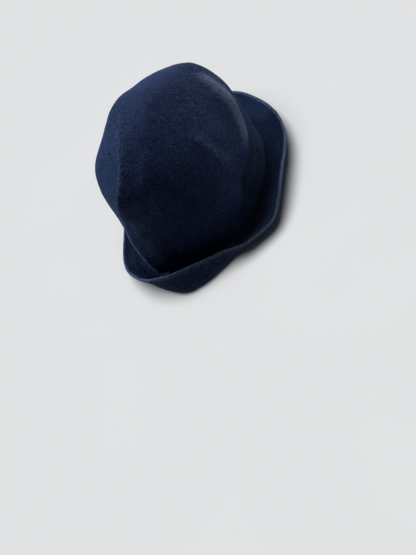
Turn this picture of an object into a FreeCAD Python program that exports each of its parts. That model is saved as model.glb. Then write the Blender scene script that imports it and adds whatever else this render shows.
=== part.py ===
import FreeCAD, Part
import math
import os

from FreeCAD import Placement, Rotation, Vector

# A soft felt hat: a deep crown, and a brim that rolls up all round, high and close to the crown at
# the back and open like a dish at the front and sides.
# Frame: the origin is the centre of the head opening, in the plane of the crown's lower edge.
# +Z runs up the crown, -Y is the wearer's front and +X is the wearer's left. Millimetres.

doc = FreeCAD.newDocument("felt_hat")
sheet = doc.addObject("Spreadsheet::Sheet", "sizes")

SIZES = {
    "felt": 2.6,                  # thickness of the blocked felt
    "fold_gap": 0.25,             # gap left between neighbouring layers
    "collar_gap": 0.45,           # between the crown and the brim's collar
    "collar_rise": 8.0,           # the brim's inner edge stands up this far inside the crown
    "bend_radius": 3.0,           # where that collar turns out into the brim
    "roll_start": 0.2,            # the brim starts to roll at this share of its width
    "roll_end": 0.65,             # and has finished rolling at this share
    "band_depth": 25.0,           # grosgrain sweatband, ribbon width
    "band_thick": 0.8,
    "band_foot": 0.6,             # the ribbon's lower edge above the opening's plane
    "tail_length": 16.0,          # the ribbon's end, lapped over its start at the back
    "tail_side": -34.0,           # x of the lap's nearer end
    "label_long": 46.0,           # woven label, across the back of the band
    "label_tall": 17.0,
    "label_foot": 4.5,
    "label_thick": 0.5,
    "tag_wide": 24.0,             # satin care tag at the wearer's left
    "tag_long": 15.0,
    "tag_thick": 0.5,
    "hem_tall": 3.0,              # the strip of the tag that is sewn down
    "hem_foot": 21.5,
    "tag_gap": 0.8,               # between the sewn strip and the free part of the tag
    "tag_stand": 0.9,             # tag's face in from the band at the middle of the side
    "thread": 0.35,               # radius of the sewing thread
    "seam_stitches": 72,
    "seam_stitch_long": 3.2,
    "seam_stitch_height": 4.5,
    "band_stitches": 70,
    "band_stitch_long": 4.0,
    "band_stitch_height": 3.0,
}

# The crown's outer surface, level by level: height, centre x and y, half width (x), half length (y)
# and how far the surface has turned from upright towards level, in degrees.
CROWN_LEVELS = [
    (0.0, 0.0, 0.0, 80.0, 106.0, 0.0),
    (6.0, 0.0, 0.0, 80.0, 106.0, 0.0),
    (13.0, 0.2, -0.4, 80.3, 106.0, 0.0),
    (32.0, 1.4, -3.6, 84.0, 105.5, 0.0),
    (58.0, 2.2, -7.5, 87.5, 103.5, 0.0),
    (78.0, 2.8, -10.5, 85.0, 101.0, 12.0),
    (96.0, 2.8, -12.0, 80.5, 99.8, 22.0),
    (112.0, 2.2, -9.8, 73.0, 96.0, 34.0),
    (127.0, 1.6, -6.6, 63.0, 88.0, 46.0),
    (140.0, 1.0, -5.0, 51.0, 72.5, 58.0),
    (150.5, -0.4, -4.0, 36.5, 51.5, 69.0),
    (157.5, -2.2, -3.0, 20.0, 28.0, 80.0),
    (160.0, -3.0, -3.0, 6.5, 9.0, 90.0),
]

# The brim every 15 degrees round the head opening, starting at the wearer's left and going by the
# back: felt width, slope where it leaves the crown and slope at its free edge, in degrees.
BRIM_PLACES = [
    (34.0, -7.0, 60.0),           # left
    (32.0, -10.0, 41.0),
    (31.0, -12.0, 24.0),
    (33.0, -8.0, 28.0),
    (37.0, -5.0, 43.0),
    (42.0, -10.0, 67.0),
    (54.0, -15.0, 88.0),          # back
    (62.0, -20.0, 100.0),
    (51.0, -16.0, 102.0),
    (38.0, -6.0, 84.0),
    (38.0, -4.0, 43.0),
    (46.0, -4.0, 29.0),
    (44.0, -1.0, 44.0),           # right
    (41.0, 0.0, 52.0),
    (39.0, 0.0, 43.0),
    (37.0, -3.0, 40.0),
    (36.0, -4.0, 40.0),
    (36.0, -2.0, 43.0),
    (40.0, 1.0, 50.0),            # front
    (41.0, 0.0, 52.0),
    (41.0, -1.0, 50.0),
    (40.0, -2.0, 55.0),
    (38.0, -4.0, 60.0),
    (36.0, -5.0, 63.0),
]

next_row = 1


def put(alias, value):
    """One named cell of the sheet, holding a plain number."""
    global next_row
    sheet.set("A%d" % next_row, alias)
    sheet.set("B%d" % next_row, repr(float(value)))
    sheet.setAlias("B%d" % next_row, alias)
    next_row += 1


def size(alias):
    return float(sheet.get(alias))


for alias, value in SIZES.items():
    put(alias, value)
LEVEL_NAMES = ("crown_height", "crown_x", "crown_y", "crown_half_width", "crown_half_length", "crown_lean")
for number, level in enumerate(CROWN_LEVELS):
    for name, value in zip(LEVEL_NAMES, level):
        put("%s_%d" % (name, number), value)
PLACE_NAMES = ("brim_width", "brim_slope", "brim_edge_slope")
for number, place in enumerate(BRIM_PLACES):
    for name, value in zip(PLACE_NAMES, place):
        put("%s_%d" % (name, number), value)
doc.recompute()


def bind(thing, **expressions):
    """Bind properties, such as Length or Placement.Base.x (written Placement_Base_x), to the sheet."""
    for name, text in expressions.items():
        thing.setExpression(name.replace("_", "."), text)


def ellipse(name, half_width, half_length, x="0", y="0", height="0"):
    """A level ellipse, longer from front to back; all the sizes are expressions."""
    thing = doc.addObject("Part::Ellipse", name)
    thing.Placement = Placement(Vector(), Rotation(Vector(0, 0, 1), 90))
    bind(thing, MajorRadius=half_length, MinorRadius=half_width,
         Placement_Base_x=x, Placement_Base_y=y, Placement_Base_z=height)
    return thing


def loft(name, sections):
    thing = doc.addObject("Part::Loft", name)
    thing.Sections = sections
    thing.Solid = True
    return thing


def cut(name, base, tool):
    thing = doc.addObject("Part::Cut", name)
    thing.Base, thing.Tool = base, tool
    return thing


def common(name, first, second):
    thing = doc.addObject("Part::Common", name)
    thing.Base, thing.Tool = first, second
    return thing


def box(name, long, wide, tall, x, y, z):
    thing = doc.addObject("Part::Box", name)
    bind(thing, Length=long, Width=wide, Height=tall,
         Placement_Base_x=x, Placement_Base_y=y, Placement_Base_z=z)
    return thing


def ring_wall(name, inset, thick, foot, depth):
    """An upright oval wall, its outside `inset` in from the crown's lower edge."""
    def oval(part, reach, height):
        return ellipse(name + "_" + part, "sizes.crown_half_width_0 - (%s)" % reach,
                       "sizes.crown_half_length_0 - (%s)" % reach, height=height)
    top = "(%s) + (%s)" % (foot, depth)
    inner = "(%s) + (%s)" % (inset, thick)
    outside = loft(name + "_outside", [oval("outer_low", inset, foot), oval("outer_high", inset, top)])
    hollow = loft(name + "_hollow", [oval("inner_low", inner, foot), oval("inner_high", inner, top)])
    return cut(name + "_wall", outside, hollow)


# ---- crown: a loft through its levels, less the same loft one felt thickness in
def crown_ellipse(number, inner):
    lean = "sizes.crown_lean_%d" % number
    half_width = "sizes.crown_half_width_%d" % number
    half_length = "sizes.crown_half_length_%d" % number
    height = "sizes.crown_height_%d" % number
    if inner:
        half_width += " - sizes.felt * cos(%s)" % lean
        half_length += " - sizes.felt * cos(%s)" % lean
        height += " - sizes.felt * sin(%s)" % lean
    return ellipse("crown_%s_%d" % ("in" if inner else "out", number), half_width, half_length,
                   "sizes.crown_x_%d" % number, "sizes.crown_y_%d" % number, height)


levels = range(len(CROWN_LEVELS))
crown_outside = loft("crown_outside", [crown_ellipse(number, False) for number in levels])
crown_hollow = loft("crown_hollow", [crown_ellipse(number, True) for number in levels])
crown = cut("crown", crown_outside, crown_hollow)

# ---- brim: closed curves round the head, lofted into a lower and an upper face with two rims
def round_the_head(values, turn):
    """Smooth closed interpolation of values spaced evenly round the head, at `turn` (0 to 1)."""
    count = len(values)
    place = turn * count
    first = math.floor(place)
    share = place - first
    before, here, after, beyond = (values[(first + step) % count] for step in (-1, 0, 1, 2))
    rise = (after - before) / 2
    fall = (beyond - here) / 2
    return ((2 * share**3 - 3 * share**2 + 1) * here + (share**3 - 2 * share**2 + share) * rise
            + (3 * share**2 - 2 * share**3) * after + (share**3 - share**2) * fall)


def brim_section(turn, shares):
    """The felt's middle line at one place: (reach, height, angle) at the collar, bend and roll."""
    width, slope, edge_slope = (
        round_the_head([size("%s_%d" % (name, number)) for number in range(len(BRIM_PLACES))], turn)
        for name in PLACE_NAMES)
    slope, edge_slope = math.radians(slope), math.radians(edge_slope)
    felt, bend = size("felt"), size("bend_radius")
    reach = -1.5 * felt - size("collar_gap")
    down = -math.pi / 2
    line = [(reach, size("collar_rise"), down), (reach, size("collar_rise") / 2, down)]
    bend_top = bend * 0.25
    bend_steps = 3
    for step in range(bend_steps + 1):
        angle = down + (slope - down) * step / bend_steps
        line.append((reach + bend * (1 + math.sin(angle)), bend_top - bend * math.cos(angle), angle))
    start_x, start_z, angle = line[-1]
    x, z = start_x, start_z
    fine = 240
    wanted = [round(share * fine) for share in shares]
    for step in range(1, fine + 1):
        part = (step - 0.5) / fine
        ease = min(1.0, max(0.0, (part - size("roll_start")) / (size("roll_end") - size("roll_start"))))
        angle = slope + (edge_slope - slope) * ease * ease * (3 - 2 * ease)
        x += math.cos(angle) * width / fine
        z += math.sin(angle) * width / fine
        if step in wanted:
            line.append((x, z, angle))
    return line


BRIM_SHARES = (0.1, 0.2, 0.32, 0.44, 0.56, 0.68, 0.84, 1.0)
PLACES_ROUND = 96


def brim_columns(side):
    """Points across one face of the felt, place by place: side is +1 by the crown, -1 outside."""
    half_width, half_length = size("crown_half_width_0"), size("crown_half_length_0")
    offset = side * size("felt") / 2
    columns = []
    for place in range(PLACES_ROUND):
        turn = place / PLACES_ROUND
        angle = 2 * math.pi * turn
        out = Vector(math.cos(angle) / half_width, math.sin(angle) / half_length, 0).normalize()
        foot = Vector(half_width * math.cos(angle), half_length * math.sin(angle), 0)
        columns.append([
            foot + out * (reach - offset * math.sin(lean)) + Vector(0, 0, height + offset * math.cos(lean))
            for reach, height, lean in brim_section(turn, BRIM_SHARES)])
    return columns


def skin(columns):
    """A smooth face that closes round the head and ends on its first and last rows of points."""
    across = len(columns[0])
    degree = min(3, across - 1)
    inner_knots = across - degree
    surface = Part.BSplineSurface()
    surface.buildFromPolesMultsKnots(
        columns, [1] * (len(columns) + 1), [degree + 1] + [1] * (inner_knots - 1) + [degree + 1],
        [float(knot) for knot in range(len(columns) + 1)], [float(knot) for knot in range(inner_knots + 1)],
        True, False, 3, degree)
    return surface.toShape()


def brim_solid():
    upper, lower = brim_columns(+1), brim_columns(-1)
    faces = [skin(upper), skin(lower)]
    for end in (0, -1):
        faces.append(skin([[top[end], under[end]] for top, under in zip(upper, lower)]))
    shell = Part.makeShell(faces)
    shell.sewShape()
    solid = Part.makeSolid(shell)
    if solid.Volume < 0:
        solid.reverse()
    return solid


brim = doc.addObject("Part::Feature", "brim")
brim.Shape = brim_solid()
brim.Placement = Placement()

# ---- grosgrain sweatband inside the collar, its lapped end, and the label on it
BAND_INSET = "2 * sizes.felt + sizes.collar_gap + sizes.fold_gap"
BAND_FACE = "(%s + sizes.band_thick + sizes.fold_gap)" % BAND_INSET
sweatband = ring_wall("sweatband", BAND_INSET, "sizes.band_thick", "sizes.band_foot", "sizes.band_depth")


def patch_on_band(name, thick, foot, tall, x, long):
    """A piece of ribbon that lies on the inside of the band at the back."""
    wall = ring_wall(name, BAND_FACE, thick, foot, tall)
    reach = "sizes.crown_half_length_0"
    window = box(name + "_window", long, reach, tall, x, "0", foot)
    return common(name, wall, window)


sweatband_tail = patch_on_band("sweatband_tail", "sizes.band_thick", "sizes.band_foot", "sizes.band_depth",
                               "sizes.tail_side - sizes.tail_length", "sizes.tail_length")
maker_label = patch_on_band("maker_label", "sizes.label_thick", "sizes.label_foot", "sizes.label_tall",
                            "-sizes.label_long / 2", "sizes.label_long")

# ---- care tag: a strip sewn to the band, and the free part that folds up from it
TAG_X = "sizes.crown_half_width_0 - %s - sizes.tag_stand" % BAND_FACE
care_tag_hem = box("care_tag_hem", "sizes.tag_thick", "sizes.tag_wide", "sizes.hem_tall",
                   TAG_X, "-sizes.tag_wide / 2", "sizes.hem_foot")
care_tag = box("care_tag", "sizes.tag_thick", "sizes.tag_wide", "sizes.tag_long",
               TAG_X, "-sizes.tag_wide / 2", "sizes.hem_foot - sizes.tag_gap - sizes.tag_long")
doc.recompute()

# ---- stitches: short rods of thread, one group for each seam
def stitch(middle, along, long):
    along = Vector(along).normalize()
    return Part.makeCylinder(size("thread"), long, middle - along * (long / 2), along)


def oval_point(inset, angle, height):
    """A point on the oval `inset` in from the crown's lower edge, with its outward direction."""
    half_width = size("crown_half_width_0") - inset
    half_length = size("crown_half_length_0") - inset
    point = Vector(half_width * math.cos(angle), half_length * math.sin(angle), height)
    out = Vector(math.cos(angle) / half_width, math.sin(angle) / half_length, 0).normalize()
    return point, out


def even_angles(inset, count):
    """Angles that space `count` points evenly along the oval."""
    fine = 3600
    points = [oval_point(inset, 2 * math.pi * step / fine, 0)[0] for step in range(fine + 1)]
    lengths = [0.0]
    for before, after in zip(points, points[1:]):
        lengths.append(lengths[-1] + before.distanceToPoint(after))
    angles = []
    step = 0
    for number in range(count):
        while lengths[step] < lengths[-1] * (number + 0.5) / count:
            step += 1
        angles.append(2 * math.pi * step / fine)
    return angles


UP = Vector(0, 0, 1)
band_inset = 2 * size("felt") + size("collar_gap") + size("fold_gap")
band_face = band_inset + size("band_thick")
patch_face = band_face + size("fold_gap")


def stitches_round(inset, count, height, long, upright):
    """A seam all the way round the hat."""
    made = []
    for angle in even_angles(inset, count):
        point, out = oval_point(inset, angle, height)
        made.append(stitch(point, UP if upright else out.cross(UP), long))
    return made


def stitches_at_back(inset, places, long, upright):
    """Stitches at (x, height) places on the inside of the back of the band."""
    made = []
    for x, height in places:
        angle = math.pi / 2 - math.asin(x / (size("crown_half_width_0") - inset))
        point, out = oval_point(inset, angle, height)
        made.append(stitch(point, UP if upright else out.cross(UP), long))
    return made


def stitch_group(name, solids):
    group = doc.addObject("Part::Feature", name)
    group.Shape = Part.makeCompound(solids)
    group.Placement = Placement()
    return group


crown_seam_stitches = stitch_group("crown_seam_stitches", stitches_round(
    0, int(size("seam_stitches")), size("seam_stitch_height"), size("seam_stitch_long"), True))
sweatband_stitches = stitch_group("sweatband_stitches", stitches_round(
    band_face, int(size("band_stitches")), size("band_stitch_height"), size("band_stitch_long"), False))

tail_x = size("tail_side") - 1.6
tail_heights = [size("band_foot") + size("band_depth") * share for share in (0.14, 0.32, 0.5, 0.68, 0.86)]
sweatband_tail_stitches = stitch_group("sweatband_tail_stitches", stitches_at_back(
    patch_face + size("band_thick"), [(tail_x, height) for height in tail_heights], 3.0, True))

label_edge = 1.2
label_rows = (size("label_foot") + label_edge, size("label_foot") + size("label_tall") - label_edge)
label_columns = [(share - 0.5) * (size("label_long") - 7.0) for share in (0, 0.2, 0.4, 0.6, 0.8, 1)]
maker_label_stitches = stitch_group("maker_label_stitches", stitches_at_back(
    patch_face + size("label_thick"), [(x, height) for height in label_rows for x in label_columns], 3.4, False))

hem_x = care_tag_hem.Shape.BoundBox.XMin
hem_z = size("hem_foot") + size("hem_tall") / 2
care_tag_stitches = stitch_group("care_tag_stitches", [
    stitch(Vector(hem_x, y * size("tag_wide"), hem_z), (0, 1, 0), 3.4) for y in (-0.36, -0.18, 0, 0.18, 0.36)])

PIECES = {
    "crown": crown,
    "brim": brim,
    "crown_seam_stitches": crown_seam_stitches,
    "sweatband": sweatband,
    "sweatband_tail": sweatband_tail,
    "sweatband_stitches": sweatband_stitches,
    "sweatband_tail_stitches": sweatband_tail_stitches,
    "maker_label": maker_label,
    "maker_label_stitches": maker_label_stitches,
    "care_tag_hem": care_tag_hem,
    "care_tag_stitches": care_tag_stitches,
    "care_tag": care_tag,
}
for name, piece in PIECES.items():
    piece.Label = name
doc.recompute()

for thing in doc.Objects:
    if "Invalid" in thing.State or "Error" in thing.State:
        raise RuntimeError("%s failed: %s" % (thing.Name, thing.State))
for name, piece in PIECES.items():
    if piece.Shape.isNull() or not piece.Shape.isValid():
        raise RuntimeError("%s has no valid shape" % name)

os.makedirs("parts", exist_ok=True)
for name, piece in PIECES.items():
    piece.Shape.exportStep("parts/%s.step" % name)
    bounds = piece.Shape.BoundBox
    print("%-26s %9.1f mm3  x %6.1f %6.1f  y %6.1f %6.1f  z %6.1f %6.1f" % (
        name, piece.Shape.Volume, bounds.XMin, bounds.XMax, bounds.YMin, bounds.YMax,
        bounds.ZMin, bounds.ZMax))
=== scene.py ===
import math

import bpy
import numpy as np
from mathutils import Matrix, Vector


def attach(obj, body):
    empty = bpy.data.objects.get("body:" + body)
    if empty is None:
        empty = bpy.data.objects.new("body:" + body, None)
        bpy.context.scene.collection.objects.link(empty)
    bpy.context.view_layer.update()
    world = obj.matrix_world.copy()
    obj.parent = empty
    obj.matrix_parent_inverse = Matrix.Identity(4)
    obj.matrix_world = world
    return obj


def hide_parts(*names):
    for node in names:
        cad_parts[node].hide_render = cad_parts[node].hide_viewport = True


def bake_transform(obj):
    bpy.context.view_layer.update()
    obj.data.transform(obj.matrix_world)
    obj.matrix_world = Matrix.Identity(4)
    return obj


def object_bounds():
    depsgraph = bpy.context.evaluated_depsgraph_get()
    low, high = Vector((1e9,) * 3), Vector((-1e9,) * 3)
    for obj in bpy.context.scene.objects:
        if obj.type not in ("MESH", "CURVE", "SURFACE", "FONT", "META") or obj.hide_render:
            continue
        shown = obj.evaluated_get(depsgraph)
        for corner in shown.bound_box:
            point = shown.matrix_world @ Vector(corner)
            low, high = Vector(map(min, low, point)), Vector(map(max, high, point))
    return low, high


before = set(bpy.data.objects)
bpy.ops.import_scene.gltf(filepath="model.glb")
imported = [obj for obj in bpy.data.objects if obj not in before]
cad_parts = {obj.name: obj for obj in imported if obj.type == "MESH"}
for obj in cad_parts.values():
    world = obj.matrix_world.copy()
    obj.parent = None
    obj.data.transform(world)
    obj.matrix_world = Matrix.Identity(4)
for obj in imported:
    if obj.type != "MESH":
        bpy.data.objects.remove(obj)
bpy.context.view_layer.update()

# The shapes' lengths are in millimetres, and MM turns them into Blender's metres. Materials, floor and
# lights are in metres.
MM = 0.001
RANDOM = np.random.default_rng(7)

# ---------------------------------------------------------------- sizes shared with the CAD model
FELT = 2.6
COLLAR_GAP = 0.45
FOLD_GAP = 0.25
COLLAR_RISE = 8.0
BEND_RADIUS = 3.0
ROLL_START, ROLL_END = 0.2, 0.65
HALF_WIDTH, HALF_LENGTH = 80.0, 106.0     # the crown's lower edge, outside
BAND_THICK, BAND_FOOT, BAND_DEPTH = 0.8, 0.6, 25.0
BAND_INSET = 2 * FELT + COLLAR_GAP + FOLD_GAP
BAND_FACE = BAND_INSET + BAND_THICK       # how far in the ribbon's visible face lies
PATCH_FACE = BAND_FACE + FOLD_GAP         # and the back of what is sewn on it
LABEL_LONG, LABEL_TALL, LABEL_FOOT, LABEL_THICK = 46.0, 17.0, 4.5, 0.5
TAIL_SIDE, TAIL_LENGTH = -34.0, 16.0
TAG_WIDE, TAG_LONG, TAG_GAP, HEM_TALL, HEM_FOOT, TAG_THICK = 24.0, 15.0, 0.8, 3.0, 21.5, 0.5
TAG_STAND = 0.9                           # how far the tag's face stands in from there
THREAD = 0.35                             # radius of the sewing thread

# The crown level by level: height, centre x and y, half width (x) and half length (y). It began as the
# result of a search and was then changed.
CROWN_LEVELS = np.array([
    (0.0, 0.0, 0.0, 80.0, 106.0),
    (6.0, 0.0, 0.0, 80.0, 106.0),
    (13.0, 0.2, -0.4, 80.3, 106.0),
    (32.0, 1.4, -3.6, 84.0, 105.5),
    (58.0, 2.2, -7.5, 87.5, 103.5),
    (78.0, 2.8, -10.5, 85.0, 101.0),
    (96.0, 2.8, -12.0, 80.5, 99.8),
    (112.0, 2.2, -9.8, 73.0, 96.0),
    (127.0, 1.6, -6.6, 63.0, 88.0),
    (140.0, 1.0, -5.0, 51.0, 72.5),
    (150.5, -0.4, -4.0, 36.5, 51.5),
    (157.5, -2.2, -3.0, 20.0, 28.0),
    (160.0, -3.0, -3.0, 0.0, 0.0),
])

# The brim every 15 degrees, from the wearer's left by the back: width, and the slopes at the crown
# and at the free edge, in degrees. These are the rounded result of a search.
BRIM_PLACES = np.array([
    (34.0, -7.0, 60.0),
    (32.0, -10.0, 41.0),
    (31.0, -12.0, 24.0),
    (33.0, -8.0, 28.0),
    (37.0, -5.0, 43.0),
    (42.0, -10.0, 67.0),
    (54.0, -15.0, 88.0),
    (62.0, -20.0, 100.0),
    (51.0, -16.0, 102.0),
    (38.0, -6.0, 84.0),
    (38.0, -4.0, 43.0),
    (46.0, -4.0, 29.0),
    (44.0, -1.0, 44.0),
    (41.0, 0.0, 52.0),
    (39.0, 0.0, 43.0),
    (37.0, -3.0, 40.0),
    (36.0, -4.0, 40.0),
    (36.0, -2.0, 43.0),
    (40.0, 1.0, 50.0),
    (41.0, 0.0, 52.0),
    (41.0, -1.0, 50.0),
    (40.0, -2.0, 55.0),
    (38.0, -4.0, 60.0),
    (36.0, -5.0, 63.0),
])


# ---------------------------------------------------------------- curves and meshes
OVAL_STEPS = 7200                # how finely the oval is measured
UP = np.array([0, 0, 1.0])


def through(knots, values, places):
    """Smooth curve through values at knots (Catmull-Rom), read at places."""
    values = np.asarray(values, float)
    slopes = np.gradient(values, knots, axis=0)
    index = np.clip(np.searchsorted(knots, places, side="right") - 1, 0, len(knots) - 2)
    gap = knots[index + 1] - knots[index]
    share = (places - knots[index]) / gap
    if values.ndim > 1:
        gap, share = gap[:, None], share[:, None]
    start, end = values[index], values[index + 1]
    rise, fall = slopes[index] * gap, slopes[index + 1] * gap
    return ((2 * share**3 - 3 * share**2 + 1) * start + (share**3 - 2 * share**2 + share) * rise
            + (3 * share**2 - 2 * share**3) * end + (share**3 - share**2) * fall)


def round_the_head(values, turns):
    """Values at evenly spaced places round the head, read smoothly at turns (0 to 1)."""
    count = len(values)
    wrapped = np.concatenate([values[-2:], values, values[:3]])
    knots = np.arange(-2, count + 3) / count
    return through(knots, wrapped, np.mod(turns, 1.0))


def oval(inset, angles, heights):
    """Points on the oval `inset` in from the crown's lower edge, and their outward directions."""
    half_width, half_length = HALF_WIDTH - inset, HALF_LENGTH - inset
    angles, heights = np.broadcast_arrays(angles, heights)
    points = np.stack([half_width * np.cos(angles), half_length * np.sin(angles), heights], -1)
    out = np.stack([np.cos(angles) / half_width, np.sin(angles) / half_length, 0 * angles], -1)
    return points, out / np.linalg.norm(out, axis=-1, keepdims=True)


def oval_lengths(inset):
    """Fine angles once round the oval, and the length along it up to each."""
    fine = np.linspace(0, 2 * math.pi, OVAL_STEPS + 1)
    points = oval(inset, fine, 0 * fine)[0]
    return fine, np.concatenate([[0], np.cumsum(np.linalg.norm(np.diff(points, axis=0), axis=1))])


def even_angles(inset, count):
    """Angles that space `count` points evenly along the oval."""
    fine, lengths = oval_lengths(inset)
    return np.interp((np.arange(count) + 0.5) / count * lengths[-1], lengths, fine)


def surface_normals(grid):
    """Unit normals of a grid of points (rows up the piece, columns closing round it)."""
    up = np.gradient(grid, axis=0)
    along = np.roll(grid, -1, axis=1) - np.roll(grid, 1, axis=1)
    normal = np.cross(along, up)
    return normal / np.maximum(np.linalg.norm(normal, axis=-1, keepdims=True), 1e-9)


def smoothstep(low, high, value):
    """0 below low and 1 above high (or the other way round), with a smooth rise between them."""
    share = np.clip((value - low) / (high - low), 0, 1)
    return share * share * (3 - 2 * share)


def make_piece(name, points, faces, material, body, nodes, painted_light=None):
    """A smooth-shaded mesh that rides on a body and stands for its CAD nodes.

    Painted light is kept point by point for the felt's material: 1 is a pale painted highlight, 0 is dark
    painted shade.
    """
    mesh = bpy.data.meshes.new(name)
    mesh.from_pydata((np.asarray(points) * MM).tolist(), [], faces)
    mesh.validate()
    mesh.update()
    mesh.polygons.foreach_set("use_smooth", [True] * len(mesh.polygons))
    if painted_light is not None:
        attribute = mesh.attributes.new("painted_light", "FLOAT", "POINT")
        attribute.data.foreach_set("value", np.clip(painted_light, 0, 1).ravel())
    piece = bpy.data.objects.new(name, mesh)
    bpy.context.collection.objects.link(piece)
    mesh.materials.append(material)
    if body:
        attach(piece, body)
    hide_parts(*nodes)
    return piece


def ring_faces(rings, around, closed=False):
    """Quads between successive rings of points; closed joins the last ring to the first."""
    faces = []
    for ring in range(rings if closed else rings - 1):
        low, high = ring * around, ((ring + 1) % rings) * around
        for place in range(around):
            after = (place + 1) % around
            faces.append((low + place, low + after, high + after, high + place))
    return faces


def slab_faces(rows, columns):
    """Quads of a thin slab: a front and a back grid of rows x columns, joined round their edges."""
    back = rows * columns
    faces = []
    for row in range(rows - 1):
        for column in range(columns - 1):
            corner = row * columns + column
            quad = (corner, corner + 1, corner + columns + 1, corner + columns)
            faces.append(quad)
            faces.append(tuple(back + point for point in reversed(quad)))
    border = ([column for column in range(columns)]
              + [row * columns + columns - 1 for row in range(1, rows)]
              + [(rows - 1) * columns + column for column in range(columns - 2, -1, -1)]
              + [row * columns for row in range(rows - 2, 0, -1)])
    for here, after in zip(border, border[1:] + border[:1]):
        faces.append((after, here, back + here, back + after))
    return faces


# ---------------------------------------------------------------- relief of soft cloth
class Waves:
    """A smooth random field in space: many sine waves of about one wavelength."""

    def __init__(self, wavelength, count=24):
        directions = RANDOM.normal(size=(count, 3))
        directions /= np.linalg.norm(directions, axis=1, keepdims=True)
        self.waves = directions * (2 * math.pi / (wavelength * RANDOM.uniform(0.7, 1.5, (count, 1))))
        self.phases = RANDOM.uniform(0, 2 * math.pi, count)
        self.scale = math.sqrt(2 / count)

    def __call__(self, points):
        flat = points.reshape(-1, 3)
        value = np.zeros(len(flat))
        for wave, phase in zip(self.waves, self.phases):
            value += np.sin(flat @ wave + phase)
        return (value * self.scale).reshape(points.shape[:-1])


slow_lumps, mid_lumps, small_lumps = Waves(70), Waves(24), Waves(8)


def near_line(points, line):
    """Distance from each point to a polyline, and how far along it the nearest place is (0-1)."""
    line = np.asarray(line, float)
    runs = np.linalg.norm(np.diff(line, axis=0), axis=1)
    total = runs.sum()
    best = np.full(points.shape[:-1], 1e9)
    where = np.zeros(points.shape[:-1])
    passed = 0.0
    for start, end, run in zip(line[:-1], line[1:], runs):
        along = np.clip(((points - start) @ (end - start)) / run**2, 0, 1)
        away = np.linalg.norm(points - (start + along[..., None] * (end - start)), axis=-1)
        closer = away < best
        best = np.where(closer, away, best)
        where = np.where(closer, (passed + along * run) / total, where)
        passed += run
    return best, where


def smooth_line(points, steps=8):
    """A polyline with more points, on a smooth curve through the given ones."""
    knots = np.arange(len(points), dtype=float)
    places = np.linspace(0, knots[-1], steps * (len(points) - 1) + 1)
    return through(knots, np.array(points, float), places)


def fold(points, line, heights, spread, crest=None, fade=(0.2, 0.2)):
    """A fold along a line, of evenly spaced heights: a round swell, or a roof with a crest radius.

    It rises and fades out over the shares of the line's length that fade gives for its two ends.
    """
    surface = points.reshape(-1, 3)
    nearest = [np.argmin(((surface - spot) ** 2).sum(axis=1)) for spot in smooth_line(line)]
    line = surface[nearest]
    line[1:-1] = (line[:-2] + line[1:-1] + line[2:]) / 3
    away, where = near_line(points, line[::2])
    heights = np.atleast_1d(heights)
    height = np.interp(where, np.linspace(0, 1, len(heights)), heights)
    height = height * smoothstep(0, fade[0], where) * smoothstep(0, fade[1], 1 - where)
    if crest is None:
        return height * np.exp(-((away / spread) ** 2))
    return height * np.exp((crest - np.sqrt(away**2 + crest**2)) / spread)


def swell(points, centre, height, spread):
    """A round swell, or a dent if its height is negative, with a spread for each direction."""
    away = np.linalg.norm((points - np.array(centre, float)) / np.array(spread, float), axis=-1)
    return height * np.exp(-away**2)


# ---------------------------------------------------------------- materials
def new_material(name):
    """An empty material, its node tree and its main shader."""
    material = bpy.data.materials.new(name)
    material.use_nodes = True
    tree = material.node_tree
    tree.nodes.clear()
    output = tree.nodes.new("ShaderNodeOutputMaterial")
    shader = tree.nodes.new("ShaderNodeBsdfPrincipled")
    tree.links.new(shader.outputs["BSDF"], output.inputs["Surface"])
    return material, tree, shader


def node(tree, kind, inputs=None, **settings):
    """A node with its settings, and inputs that are plain values or other nodes' sockets."""
    made = tree.nodes.new(kind)
    for name, value in settings.items():
        setattr(made, name, value)
    for name, value in (inputs or {}).items():
        if isinstance(value, bpy.types.NodeSocket):
            tree.links.new(value, made.inputs[name])
        else:
            made.inputs[name].default_value = value
    return made


def maths(tree, operation, first, second):
    """One arithmetic step between two values or sockets."""
    return node(tree, "ShaderNodeMath", {0: first, 1: second}, operation=operation).outputs[0]


def weighted_sum(tree, parts):
    """The sum of (value, weight) parts."""
    terms = [maths(tree, "MULTIPLY", value, weight) for value, weight in parts]
    total = terms[0]
    for term in terms[1:]:
        total = maths(tree, "ADD", total, term)
    return total


def ramp(tree, source, stops):
    """A colour ramp over a value, with stops of (place, colour or grey)."""
    made = tree.nodes.new("ShaderNodeValToRGB")
    elements = made.color_ramp.elements
    while len(elements) < len(stops):
        elements.new(0.5)
    for element, (place, colour) in zip(elements, stops):
        element.position = place
        element.color = (*colour, 1) if isinstance(colour, tuple) else (colour, colour, colour, 1)
    tree.links.new(source, made.inputs["Fac"])
    return made.outputs["Color"]


def mix_colour(tree, factor, first, second, blend="MIX"):
    """Two colours mixed by a factor; each is a plain value or another node's socket."""
    made = tree.nodes.new("ShaderNodeMix")
    made.data_type = "RGBA"
    made.blend_type = blend
    for socket, value in ((0, factor), (6, first), (7, second)):
        if isinstance(value, bpy.types.NodeSocket):
            tree.links.new(value, made.inputs[socket])
        else:
            made.inputs[socket].default_value = value if socket == 0 else (*value, 1)
    return made.outputs[2]


def noise(tree, place, scale, detail=3.0, roughness=0.5, distortion=0.0):
    """A noise texture's value; a larger scale makes it finer."""
    inputs = {"Vector": place, "Scale": scale, "Detail": detail, "Roughness": roughness,
              "Distortion": distortion}
    return node(tree, "ShaderNodeTexNoise", inputs).outputs["Fac"]


def bump(tree, height, strength, distance, under=None):
    """A bumped normal, over another one if it is given."""
    inputs = {"Strength": strength, "Distance": distance, "Height": height}
    if under is not None:
        inputs["Normal"] = under
    return node(tree, "ShaderNodeBump", inputs).outputs["Normal"]


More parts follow.
